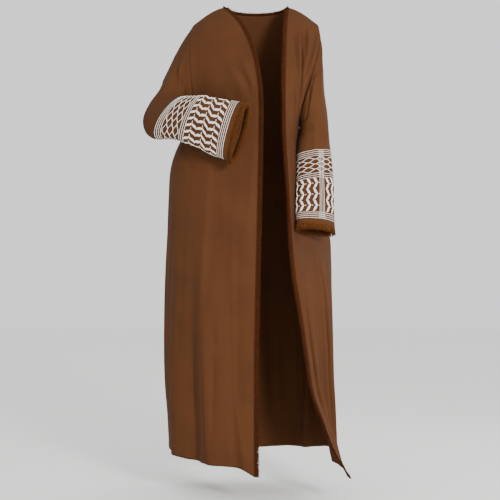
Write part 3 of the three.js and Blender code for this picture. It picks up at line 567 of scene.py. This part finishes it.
# Creases and the fine fall of the cloth
def crease(across, down, start, end, wide, deep, bow, other=None, round_by=None):
    """One soft ridge or trough on a line, fading at both ends; other is its second flank."""
    crest_share = 0.5
    fade = 0.7
    line = np.subtract(end, start)
    size = math.hypot(*line)
    dx = across - start[0]
    if round_by is not None:
        dx = (dx + round_by / 2) % round_by - round_by / 2
    dy = down - start[1]
    t = np.clip((dx * line[0] + dy * line[1]) / size**2, 0, 1)
    side = (dx * line[1] - dy * line[0]) / size - bow * np.sin(math.pi * t)
    over = np.hypot(dx - t * line[0], dy - t * line[1])
    far = np.where((t > 0) & (t < 1), np.abs(side), over)
    # A crisp crest with flanks that run out slowly
    if other is not None:
        wide = np.where(side > 0, other, wide)
    crest = crest_share * wide
    body = np.exp((crest - np.hypot(far, crest)) / wide)
    return deep * body * np.sin(math.pi * t) ** fade


def waves(points, seed, high, wide, tall):
    """Gentle uneven waves, longer up and down than across."""
    count = 28
    rng = np.random.default_rng(seed)
    total = np.zeros(points.shape[:-1])
    for _ in range(count):
        turn = rng.uniform(0, 2 * math.pi)
        across = 2 * math.pi / rng.uniform(*wide)
        up = 2 * math.pi / rng.uniform(*tall) * rng.choice([-1, 1])
        phase = rng.uniform(0, 2 * math.pi)
        wave = across * (math.cos(turn) * points[..., 0] + math.sin(turn) * points[..., 1])
        total += np.cos(wave + up * points[..., 2] + phase)
    return high * total / math.sqrt(count)


def beside_seam(distance):
    """The swell of the cloth on either side of a sewn line."""
    groove = 1 - np.exp(-((distance / SEAM_GROOVE) ** 2))
    return SEAM_SWELL * groove * np.exp(-((distance / SEAM_REACH) ** 2))


def dress_panel(panel):
    """A panel's points with its creases, seams and hem worked in."""
    grid, share = panel_points(panel)
    normals = square_to(grid, False) * (1 if panel == "front_left" else -1)
    across = lengths(grid, 1)
    width = across[:, -1:]
    up = lengths(grid, 0)
    from_top = up[-1:] - up
    level = grid[..., 2]
    base = across - (across[:, [across.shape[1] // 2]] if panel == "back" else 0)
    seam = width - across
    if panel == "back":
        seam = np.minimum(seam, across)
        far_off = 1e3
        sewn = np.minimum(share, 1 - share) * BACK_CELLS <= SHOULDER_CELLS + 0.01
        shoulder = np.where(sewn[None, :], from_top, far_off)
    else:
        shoulder = from_top
    fade = smooth(seam / PANEL_FADE) * smooth(from_top / PANEL_FADE)
    grow = mix(CALM_TOP, 1.0, smooth((CHEST - level) / CALM_DEPTH))

    height = np.zeros(level.shape)
    folds = [row[:5] + (row[4],) + row[5:] for row in CREASES[panel]] + list(KNIFE_FOLDS[panel])
    for x0, z0, x1, z1, wide, other, deep, bow in folds:
        ends = []
        for x, z in ((x0, z0), (x1, z1)):
            j = int(round(x * (len(share) - 1)))
            i = int(np.argmin(np.abs(level[:, j] - z)))
            ends.append((base[i, j], level[i, j]))
        height += crease(base, level, ends[0], ends[1], wide, deep, bow, other)
    height += grow * waves(grid, WAVE_SEED[panel], *BROAD_WAVES)
    height += waves(grid, WAVE_SEED[panel] + 20, *FINE_WAVES)
    height *= fade
    height += beside_seam(seam) + beside_seam(shoulder)
    height += HEM_STEP * smooth((HEM_TURN + HEM_STEP_RUN / 2 - up) / HEM_STEP_RUN)
    grid = grid + normals * height[..., None]
    chart = np.stack([across, up], axis=-1)
    return grid, normals, chart


def dress_sleeve(side):
    """A sleeve's points with its creases and its seam worked in."""
    grid = sleeve_points(side)
    normals = ring_out(grid)
    loop = np.concatenate([grid, grid[:, :1]], axis=1)
    around = lengths(loop, 1)
    girth = around[:, -1:]
    along = np.broadcast_to(from_cuff(grid)[:, None], grid.shape[:2])
    from_top = lengths(grid, 0)
    height = np.zeros(grid.shape[:2])
    for r0, a0, r1, a1, wide, deep, bow in SLEEVE_CREASES[side]:
        ends = []
        for r, a in ((r0, a0), (r1, a1)):
            i = int(round(r * SLEEVE_RINGS))
            ends.append((a * girth[i, 0], along[i, 0]))
        height += crease(around[:, :-1], along, ends[0], ends[1], wide, deep, bow, round_by=girth)
    height += waves(grid, WAVE_SEED[side], *SLEEVE_WAVES)
    height *= smooth(from_top / SLEEVE_FADE)
    height += beside_seam(from_top)
    grid = grid + normals * height[..., None]
    chart = np.stack([around, np.broadcast_to(along[:, :1], around.shape)], axis=-1)
    return grid, normals, chart


# Pieces
def mesh_piece(name, points, faces, corners=None):
    """A smooth mesh from points in millimetres; corners holds the UV of every face corner."""
    mesh = bpy.data.meshes.new(name)
    mesh.from_pydata((np.asarray(points) / 1000).tolist(), [], [list(map(int, face)) for face in faces])
    if corners is not None:
        layer = mesh.uv_layers.new(name="cut")
        layer.data.foreach_set("uv", (np.asarray(corners) / 1000).ravel().astype(np.float32))
    mesh.shade_smooth()
    mesh.update()
    piece = bpy.data.objects.new(name, mesh)
    bpy.context.scene.collection.objects.link(piece)
    return piece


def cloth_piece(name, grid, normals, chart, closed):
    """Cloth over a grid of points, with its thickness on the inside."""
    rows, cols = grid.shape[:2]
    spans = cols if closed else cols - 1
    i, j = np.meshgrid(np.arange(rows - 1), np.arange(spans), indexing="ij")
    i, j = i.ravel(), j.ravel()
    k = (j + 1) % cols
    faces = np.stack([i * cols + j, i * cols + k, (i + 1) * cols + k, (i + 1) * cols + j], axis=1)
    corners = np.stack([chart[i, j], chart[i, j + 1], chart[i + 1, j + 1], chart[i + 1, j]], axis=1)
    flat = grid.reshape(-1, 3)
    facing = np.cross(flat[faces[:, 1]] - flat[faces[:, 0]], flat[faces[:, 3]] - flat[faces[:, 0]])
    if np.sum(facing * normals.reshape(-1, 3)[faces[:, 0]]) < 0:
        faces = faces[:, ::-1]
        corners = corners[:, ::-1]
    piece = mesh_piece(name, flat, faces, corners)
    wall = piece.modifiers.new("thickness of the cloth", "SOLIDIFY")
    wall.thickness = CLOTH / 1000
    wall.offset = -1
    bpy.context.view_layer.objects.active = piece
    bpy.ops.object.modifier_apply(modifier=wall.name)
    return piece


def tubes(paths, sections, closed=False):
    """Points and faces of many alike tubes. paths: tube, station, 3; sections: tube, station,
    corner, 3, as offsets. An open tube ends in flat caps."""
    many, stations, corners = sections.shape[:3]
    points = (paths[:, :, None, :] + sections).reshape(-1, 3)
    spans = stations if closed else stations - 1
    s, c = np.meshgrid(np.arange(spans), np.arange(corners), indexing="ij")
    s, c = s.ravel(), c.ravel()
    t = (s + 1) % stations
    d = (c + 1) % corners
    one = np.stack([s * corners + c, s * corners + d, t * corners + d, t * corners + c], axis=1)
    each = stations * corners
    faces = (one[None] + (np.arange(many) * each)[:, None, None]).reshape(-1, 4)
    faces = faces.tolist()
    if not closed:
        first = list(range(corners))[::-1]
        last = [each - corners + n for n in range(corners)]
        for m in range(many):
            faces.append([m * each + n for n in first])
            faces.append([m * each + n for n in last])
    return points, faces


def join(parts):
    """One list of points and faces from several."""
    points = []
    faces = []
    shift = 0
    for some, more in parts:
        points.append(some)
        faces.extend([n + shift for n in face] for face in more)
        shift += len(some)
    return np.concatenate(points), faces


# Topstitching: lock stitches that lie on the cloth beside its edges
def line_on(grid, normals, distance, at):
    """The line where a distance measured down the rows reaches a value: one point a column."""
    i = np.argmax(distance > at, axis=0)
    j = np.arange(grid.shape[1])
    t = ((at - distance[i - 1, j]) / (distance[i, j] - distance[i - 1, j]))[:, None]
    return mix(grid[i - 1, j], grid[i, j], t), unit(mix(normals[i - 1, j], normals[i, j], t))


def stitch_row(line):
    """A row of stitches along a line; each starts, rises and ends at shares of its pitch."""
    shares = np.array([0.1, 0.48, 0.86])
    lift = np.array([-0.12, 0.2, -0.12])[None, :, None]
    path, ways = line
    far = lengths(path[None], 1)[0]
    count = int(far[-1] / STITCH_PITCH)
    at = (np.arange(count)[:, None] + shares) / count * far[-1]
    place = at_places(at, far, path)
    out = unit(at_places(at, far, ways))
    run = unit(place[:, -1:] - place[:, :1])
    aside = unit(np.cross(out, run))
    turn = np.arange(4) * (math.pi / 2)
    ring = np.cos(turn)[:, None] * out[:, :, None] + np.sin(turn)[:, None] * aside[:, :, None]
    return tubes(place + out * lift, STITCH_HALF * ring)


def topstitch(name, lines):
    points, faces = join([stitch_row(line) for line in lines])
    return mesh_piece(name, points, faces)


# Brush fringe: twisted threads that stand out from a plaited head sewn along an edge
def edge_frames(edge, inside, normals, closed):
    """Where an edge runs, the way out of the cloth and the way out of its face."""
    if closed:
        run = unit(np.roll(edge, -1, axis=0) - np.roll(edge, 1, axis=0))
    else:
        run = unit(np.gradient(edge, axis=0))
    out = edge - inside
    out = unit(out - run * np.sum(out * run, axis=1, keepdims=True))
    face = np.cross(run, out)
    face = face * np.sign(np.sum(face * normals, axis=1, keepdims=True))
    return edge, run, out, unit(face)


def along_edge(frames, places, closed):
    """The frames at places between 0 and 1 of an edge's length, and that length."""
    edge, run, out, face = frames
    if closed:
        edge, run, out, face = (np.concatenate([a, a[:1]]) for a in frames)
    far = lengths(edge[None], 1)[0]
    at = places * far[-1]
    ways = [unit(at_places(at, far, a)) for a in (run, out, face)]
    return (at_places(at, far, edge), *ways, far[-1])


def threads(frames, pitch, length, droop, seed, closed):
    """One row of threads that stand out from an edge, each a little apart from the rest."""
    rng = np.random.default_rng(seed)
    size = along_edge(frames, np.array([0.0]), closed)[4]
    count = int(size / pitch)
    places = (np.arange(count) + rng.uniform(0.1, 0.9, count)) / count
    root, run, out, face, _ = along_edge(frames, places, closed)
    reach = length * rng.uniform(*THREAD_REACH, count)[:, None]
    lean = rng.normal(0, THREAD_LEAN, count)[:, None]
    lift = rng.normal(*THREAD_LIFT, count)[:, None]
    way = unit(out + run * lean + face * lift)
    bend = run * rng.normal(0, THREAD_BEND[0], count)[:, None]
    bend = bend + face * rng.normal(0, THREAD_BEND[1], count)[:, None]
    root = root + out * rng.uniform(*THREAD_ROOT, count)[:, None]
    root = root - face * rng.uniform(*THREAD_DEPTH, count)[:, None]
    share = np.array([0, 0.5, 1])
    sag = np.array([0, 0, -droop])
    path = (
        root[:, None]
        + way[:, None] * (reach[:, :, None] * share[None, :, None])
        + (bend[:, None] + sag) * (reach[:, :, None] * (share**2)[None, :, None])
    )
    thick = rng.uniform(*THREAD_THICK, count)[:, None, None, None]
    thick = np.array(THREAD_HALF)[None, :, None, None] * thick
    turn = rng.uniform(0, 2, count)[:, None] + np.arange(3)[None, :] * (2 * math.pi / 3)
    aside = unit(np.cross(way, face))
    ring = np.cos(turn)[..., None] * face[:, None] + np.sin(turn)[..., None] * aside[:, None]
    return tubes(path, thick * ring[:, None])


def plait(frames, closed):
    """The head of a fringe: two rows of slanting stitches that meet along its middle."""
    size = along_edge(frames, np.array([0.0]), closed)[4]
    count = int(size / PLAIT_PITCH)
    off_face = 0.15
    flat = 0.9
    half = np.array([0.2, 0.85, 0.85, 0.2])[None, :, None, None]
    turn = (np.arange(4) * (math.pi / 2) + math.pi / 4)[None, :, None]
    parts = []
    for side in (-1, 1):
        places = (np.arange(count) + 0.5 + PLAIT_STAGGER * side) / count
        root, run, out, face, _ = along_edge(frames, places, closed)
        middle = root + out * (PLAIT_MIDDLE + PLAIT_APART * side) + face * off_face
        way = unit(run + out * (PLAIT_SLANT * side))
        aside = unit(np.cross(face, way))
        share = np.array([-1, -0.5, 0.5, 1]) * PLAIT_HALF
        path = middle[:, None] + way[:, None] * share[None, :, None]
        ring = np.cos(turn) * face[:, None] * flat + np.sin(turn) * aside[:, None]
        parts.append(tubes(path, half * ring[:, None]))
    return join(parts)


def head_tape(frames, closed):
    """The woven tape that carries the threads, in line with the cloth."""
    count = 400
    places = np.arange(count) / (count if closed else count - 1)
    root, run, out, face, _ = along_edge(frames, places, closed)
    section = np.stack([out * a + face * b for a, b in TAPE], axis=1)
    return tubes(root[None], section[None], closed)


def brush_fringe(place, frames, closed=False):
    length, droop, seed = FRINGES[place]
    parts = [head_tape(frames, closed), plait(frames, closed)]
    for pitch, share, step in THREAD_ROWS:
        parts.append(threads(frames, pitch, length * share, droop, seed + step, closed))
    points, faces = join(parts)
    return mesh_piece("brush_fringe_" + place, points, faces)


# Embroidery: satin lines, leaves and netting that follow a sleeve
def sleeve_chart(grid, normals, start):
    """A sleeve with each ring in even steps, from the line where its pattern begins."""
    shifted, facing = (np.roll(a, -start, axis=1) for a in (grid, normals))
    shifted, facing = (np.concatenate([a, a[:, :1]], axis=1) for a in (shifted, facing))
    around = lengths(shifted, 1)
    at = np.linspace(0, 1, CHART_STEPS + 1)
    points = np.stack([at_places(at * far[-1], far, ring) for far, ring in zip(around, shifted)])
    ways = np.stack([at_places(at * far[-1], far, ring) for far, ring in zip(around, facing)])
    return {"points": points, "ways": unit(ways), "from_cuff": from_cuff(grid), "girth": around[:, -1]}


def girth_at(chart, along):
    return np.interp(along, chart["from_cuff"][::-1], chart["girth"][::-1])


def on_sleeve(chart, round_mm, along, lift):
    """Points on a sleeve at a distance round it and a distance from its cuff."""
    rings = np.arange(len(chart["from_cuff"]))[::-1]
    r = np.interp(along, chart["from_cuff"][::-1], rings)
    c = (round_mm / girth_at(chart, along)) % 1.0 * CHART_STEPS
    r0 = np.clip(np.floor(r).astype(int), 0, len(rings) - 2)
    c0 = np.clip(np.floor(c).astype(int), 0, CHART_STEPS - 1)
    fr = (r - r0)[..., None]
    fc = (c - c0)[..., None]

    def blend(a):
        low = a[r0, c0] * (1 - fc) + a[r0, c0 + 1] * fc
        high = a[r0 + 1, c0] * (1 - fc) + a[r0 + 1, c0 + 1] * fc
        return low * (1 - fr) + high * fr

    return blend(chart["points"]) + unit(blend(chart["ways"])) * lift[..., None]


def satin(chart, path, wide, high, closed=False):
    """Raised satin lines. path: line, station, (round, along); wide and high: per station."""
    section = ((-0.5, -0.25), (-0.26, 0.86), (0, 1.0), (0.26, 0.86), (0.5, -0.25))
    path = np.asarray(path, float)
    if closed:
        run = np.broadcast_to([1.0, 0.0], path.shape)
    else:
        run = np.gradient(path, axis=1)
    run = unit(run)
    aside = np.stack([-run[..., 1], run[..., 0]], axis=-1)
    wide = np.broadcast_to(wide, path.shape[:2])
    high = np.broadcast_to(high, path.shape[:2])
    corners = []
    for across, lift in section:
        place = path + aside * (across * wide)[..., None]
        corners.append(on_sleeve(chart, place[..., 0], place[..., 1], lift * high))
    corners = np.stack(corners, axis=2)
    return tubes(np.zeros(path.shape[:2] + (3,)), corners, closed)


def ring_lines(chart, start, lines, pitch):
    stations = 240
    paths = []
    for n in range(lines):
        along = np.full(stations, start + n * pitch)
        round_mm = np.arange(stations) / stations * girth_at(chart, along)
        paths.append(np.stack([round_mm, along], axis=-1))
    return satin(chart, paths, LINE_WIDE, LINE_HIGH, closed=True)


def border_lines(chart, low, high):
    stations = 60
    along = np.linspace(low, high, stations)
    paths = [np.stack([np.full_like(along, x), along], axis=-1) for x in BORDER]
    return satin(chart, paths, BORDER_WIDE, LINE_HIGH)


def leaf_field(chart, thorn):
    """Waves of leaves along the sleeve, side by side round it, with a thorn on each crest."""
    middle = 50  # of the band, where its girth is taken
    start = LEAVES_AT + LEAF_MARGIN
    room = girth_at(chart, LEAVES_AT + middle) - BORDER_ROOM
    count = int(round(room / LEAF_ROWS))
    t = np.linspace(0, 1, 9)
    reach = np.linspace(0, THORN_REACH, len(THORN_WIDE)) * thorn
    leaves = []
    thorns = []
    for n in range(count):
        base = BORDER_ROOM / 2 + (n + 0.5) * room / count
        for k in range(LEAVES):
            rise = (1 if k % 2 == 0 else -1) * thorn
            x = base + LEAF_RISE * (t - 0.5) * rise + LEAF_BEND * np.sin(2 * math.pi * t) * rise
            y = start + (k + t * (1 + LEAF_LAP) - LEAF_LAP / 2) * LEAF_RUN
            leaves.append(np.stack([x, y], axis=-1))
            if k % 2 == 0:
                x = base + thorn * (LEAF_RISE / 2 + THORN_GAP) + reach
                y = np.full_like(reach, start + (k + 1) * LEAF_RUN)
                thorns.append(np.stack([x, y], axis=-1))
    # A leaf is blunt at both ends and full between them
    tip = 0.02
    fullness = 0.6
    spindle = LEAF_WIDE * np.sin(math.pi * np.clip(t, tip, 1 - tip)) ** fullness
    return join([satin(chart, leaves, spindle, LEAF_HIGH), satin(chart, thorns, THORN_WIDE, THORN_HIGH)])


def netting(chart):
    """Rows of six-sided meshes with thickened knots."""
    middle = 25  # of the band, where its girth is taken
    girth = girth_at(chart, NET_AT + middle)
    count = 2 * int(round(girth / NET_PITCH))
    pitch = girth / count
    top = NET_AT + NET_ROWS * NET_HIGH + 1
    t = np.linspace(0, 1, len(NET_WIDE))
    lines = []

    def line(x0, y0, x1, y1):
        lines.append(np.stack([mix(x0, x1, t), mix(y0, y1, t)], axis=-1))

    for n in range(count):
        x = n * pitch
        for k in range(NET_ROWS + 1):
            y = NET_AT + (NET_HIGH / 2 if n % 2 else 0) + k * NET_HIGH
            if y > top:
                continue
            line(x - KNOT_HALF, y, x + KNOT_HALF, y)
            for side in (-1, 1):
                to = y + NET_HIGH / 2
                if to < top:
                    line(x + side * KNOT_HALF, y, x + side * (pitch - KNOT_HALF), to)
    return satin(chart, lines, NET_WIDE, LINE_HIGH)


def embroidery(name, chart, thorn):
    first, lines, pitch = LINE_BANDS["high"]
    parts = [ring_lines(chart, *band) for band in LINE_BANDS.values()]
    parts.append(border_lines(chart, LINE_BANDS["low"][0], first + (lines - 1) * pitch))
    parts.append(leaf_field(chart, thorn))
    parts.append(netting(chart))
    points, faces = join(parts)
    return mesh_piece(name, points, faces)


# Finishes
def colour(code):
    """An sRGB hex code as a linear colour."""
    out = []
    for k in (1, 3, 5):
        c = int(code[k : k + 2], 16) / 255
        out.append(c / 12.92 if c <= 0.04045 else ((c + 0.055) / 1.055) ** 2.4)
    return (*out, 1.0)


def put(tree, kind, values=(), links=(), **settings):
    """Add a node with its settings, the values of its sockets and what feeds them."""
    node = tree.nodes.new(kind)
    for name, value in settings.items():
        setattr(node, name, value)
    for socket, value in dict(values).items():
        node.inputs[socket].default_value = value
    for socket, source in dict(links).items():
        tree.links.new(source, node.inputs[socket])
    return node


def two_tone(name, noise, tones, gloss, relief=0, cloud=None):
    """A finish whose tones and relief follow one fine noise; cloud mixes a broad one in."""
    fine_share = 0.6
    deep = 0.0004
    material = bpy.data.materials.new(name)
    material.use_nodes = True
    tree = material.node_tree
    tree.nodes.clear()
    place = put(tree, "ShaderNodeTexCoord").outputs["Object"]
    fine = put(tree, "ShaderNodeTexNoise", noise, {"Vector": place}).outputs["Fac"]
    pattern = fine
    if cloud:
        broad = put(tree, "ShaderNodeTexNoise", cloud, {"Vector": place}).outputs["Fac"]
        faint = put(tree, "ShaderNodeMath", {1: fine_share}, {0: fine}, operation="MULTIPLY").outputs[0]
        pattern = put(tree, "ShaderNodeMath", {}, {0: broad, 1: faint}, operation="ADD").outputs[0]
    tone = put(tree, "ShaderNodeValToRGB", {}, {"Fac": pattern})
    for stop, (position, code) in zip(tone.color_ramp.elements, tones):
        stop.position = position
        stop.color = colour(code)
    links = {"Base Color": tone.outputs["Color"]}
    if relief:
        bump = put(tree, "ShaderNodeBump", {"Strength": relief, "Distance": deep}, {"Height": fine})
        links["Normal"] = bump.outputs["Normal"]
    shader = put(tree, "ShaderNodeBsdfPrincipled", gloss, links)
    put(tree, "ShaderNodeOutputMaterial", {}, {"Surface": shader.outputs["BSDF"]})
    return material


def per_metre(size):
    """The scale of a noise with grains of a size in millimetres."""
    return 1000 / size


def woven_crepe():
    """Polyester crepe: pebbled by its twisted yarns, matt, with a soft bloom at grazing angles."""
    # Crepe has a 0.8 mm grain; it is drawn 7 to the centimetre so that it holds in the picture
    noise = {"Scale": per_metre(10 / 7), "Detail": 2.0, "Roughness": 0.6}
    # Broad clouds, seven to the metre
    cloud = {"Scale": per_metre(1000 / 7), "Detail": 3.0}
    tones = ((0.45, "#402412"), (0.9, "#4b2c16"))
    gloss = {"Roughness": 0.86, "IOR": 1.5, "Specular IOR Level": 0.12}
    gloss.update({"Sheen Weight": 0.01, "Sheen Roughness": 0.45})
    return two_tone("brown polyester crepe", noise, tones, gloss, 0.35, cloud)


def satin_thread():
    """Rayon embroidery thread, off-white, in satin stitch: a fine rib with a silky gloss."""
    # 40 weight thread is 0.4 mm thick; its rib is drawn 11 to the centimetre
    noise = {"Scale": per_metre(10 / 11), "Detail": 1.0}
    tones = ((0.3, "#cdbfb4"), (0.65, "#efe8e1"))
    gloss = {"Roughness": 0.55, "IOR": 1.5, "Sheen Weight": 0.1, "Sheen Roughness": 0.4}
    return two_tone("rayon satin thread", noise, tones, gloss, 0.4)


def sewing_thread():
    """Polyester sewing thread, twisted, dyed a shade darker than the crepe."""
    # The thread is twisted 9 times to the centimetre
    noise = {"Scale": per_metre(10 / 9), "Detail": 1.0}
    tones = ((0, "#2c1608"), (1, "#4a2a11"))
    return two_tone("polyester sewing thread", noise, tones, {"Roughness": 0.6, "IOR": 1.5})


def fringe_thread(place, dark, light):
    """Spun polyester thread, a darker redder brown, uneven from strand to strand; it is made in a lighter
    copy for the cuffs and a darker copy whose extra darkness is painted shade.
    """
    # The tone changes 42 times in 100 mm, over every three or four threads
    noise = {"Scale": per_metre(100 / 42), "Detail": 2.0}
    gloss = {"Roughness": 0.85, "IOR": 1.5, "Specular IOR Level": 0.1}
    return two_tone("spun polyester fringe of the " + place, noise, ((0.3, dark), (0.72, light)), gloss)


def studio_paint():
    """Matt white paint, with a faint haze of wear."""
    noise = {"Scale": per_metre(1250)}
    tones = ((0, "#f4f3f1"), (1, "#f8f7f5"))
    return two_tone("matt white studio paint", noise, tones, {"Roughness": 0.9})


crepe = woven_crepe()
thread = satin_thread()
# The fronts and neck get a darker copy of the cuffs' fringe yarn: painted shade for edges that lie in shade,
# as the yarn itself is one colour.
shaded_front_tassel = fringe_thread("fronts and neck", "#2e1506", "#4f280e")
cuff_tassel = fringe_thread("cuffs", "#40220c", "#6a3e1a")
seam_thread = sewing_thread()


def wear(piece, material):
    """Give a piece its finish and let it hang with the garment."""
    piece.data.materials.clear()
    piece.data.materials.append(material)
    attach(piece, "root")


def sew_fringe(place, frames, material, closed=False):
    """A brush fringe in place of its plain solid."""
    fringe = brush_fringe(place, frames, closed)
    wear(fringe, material)
    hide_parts("fringe_" + place)
    return fringe


# The garment
edges = {}
trims = {}
for panel in ("back", "front_right", "front_left"):
    grid, normals, chart = dress_panel(panel)
    piece = cloth_piece("cloth_" + panel, grid, normals, chart, False)
    wear(piece, crepe)
    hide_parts(panel)
    edges[panel] = (grid, normals)
    across, up = chart[..., 0], chart[..., 1]
    lines = [line_on(grid, normals, up, HEM_TURN - HEM_STITCH)]
    if panel == "back":
        neck = slice(SHOULDER_CELLS * FINE_BACK + 1, (SHOULDER_CELLS + NECK_CELLS) * FINE_BACK)
        down = (up[-1:] - up)[::-1, neck]
        lines.append(line_on(grid[::-1, neck], normals[::-1, neck], down, EDGE_STITCH))
    else:
        lines.append(line_on(grid.transpose(1, 0, 2), normals.transpose(1, 0, 2), across.T, EDGE_STITCH))
    stitches = topstitch("topstitch_" + panel, lines)
    wear(stitches, seam_thread)
    trims[panel] = [stitches]

for side, (start, thorn) in PATTERN.items():
    grid, normals, chart = dress_sleeve(side)
    piece = cloth_piece("cloth_sleeve_" + side, grid, normals, chart, True)
    wear(piece, crepe)
    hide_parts("sleeve_" + side)
    worked = embroidery("embroidery_" + side, sleeve_chart(grid, normals, start), thorn)
    wear(worked, thread)
    frames = edge_frames(grid[-1], grid[-2], normals[-1], True)
    fringe = sew_fringe("cuff_" + side, frames, cuff_tassel, closed=True)
    ring = [np.concatenate([a[::-1], a[::-1, :1]], axis=1) for a in (grid, normals)]
    stitches = topstitch("topstitch_cuff_" + side, [line_on(*ring, chart[::-1, :, 1], EDGE_STITCH)])
    wear(stitches, seam_thread)
    trims[side] = [worked, fringe, stitches]

for panel in ("front_right", "front_left"):
    grid, normals = edges[panel]
    frames = edge_frames(grid[:-2, 0], grid[:-2, 1], normals[:-2, 0], False)
    trims[panel].append(sew_fringe(panel, frames, shaded_front_tassel))

grid, normals = edges["back"]
frames = edge_frames(grid[-1, neck], grid[-2, neck], normals[-1, neck], False)
trims["back"].append(sew_fringe("neck", frames, shaded_front_tassel))

# Floor, light and camera, in metres
FLOOR_LEVEL = -1.462
FLOOR_SIZE = 14
CAMERA = (-0.018, -3.4, -0.733)
SENSOR_MM = 36
LENS_MM = 80.86
DAYLIGHT = 1.2

bpy.ops.mesh.primitive_plane_add(size=FLOOR_SIZE, location=(0, 0, 0))
floor = bpy.context.active_object
floor.name = "floor"
for vertex in floor.data.vertices:
    vertex.co.z = FLOOR_LEVEL
floor.data.materials.append(studio_paint())


def soft_light(name, place, aim, size, power):
    lamp = bpy.data.lights.new(name, "AREA")
    lamp.shape = "DISK"
    lamp.size = size
    lamp.energy = power
    holder = bpy.data.objects.new(name, lamp)
    bpy.context.scene.collection.objects.link(holder)
    holder.location = place
    x, y, z = np.subtract(aim, place)
    holder.rotation_euler = (math.atan2(math.hypot(x, y), -z), 0, math.atan2(-x, y))


soft_light("rim", (1.35, 1.0, 0.1), (0.2, 0, -0.2), 0.55, 7)
soft_light("key", (1.6, -3.4, 0.1), (0, 0, -0.7), 0.9, 160)

world = bpy.data.worlds.new("white studio")
bpy.context.scene.world = world
world.use_nodes = True
background = world.node_tree.nodes["Background"]
background.inputs["Color"].default_value = (1, 1, 1, 1)
background.inputs["Strength"].default_value = DAYLIGHT

camera = bpy.data.cameras.new("camera")
camera.sensor_width = SENSOR_MM
camera.lens = LENS_MM
camera_object = bpy.data.objects.new("camera", camera)
bpy.context.scene.collection.objects.link(camera_object)
camera_object.location = CAMERA
camera_object.rotation_euler = (math.pi / 2, 0, 0)
bpy.context.scene.camera = camera_object
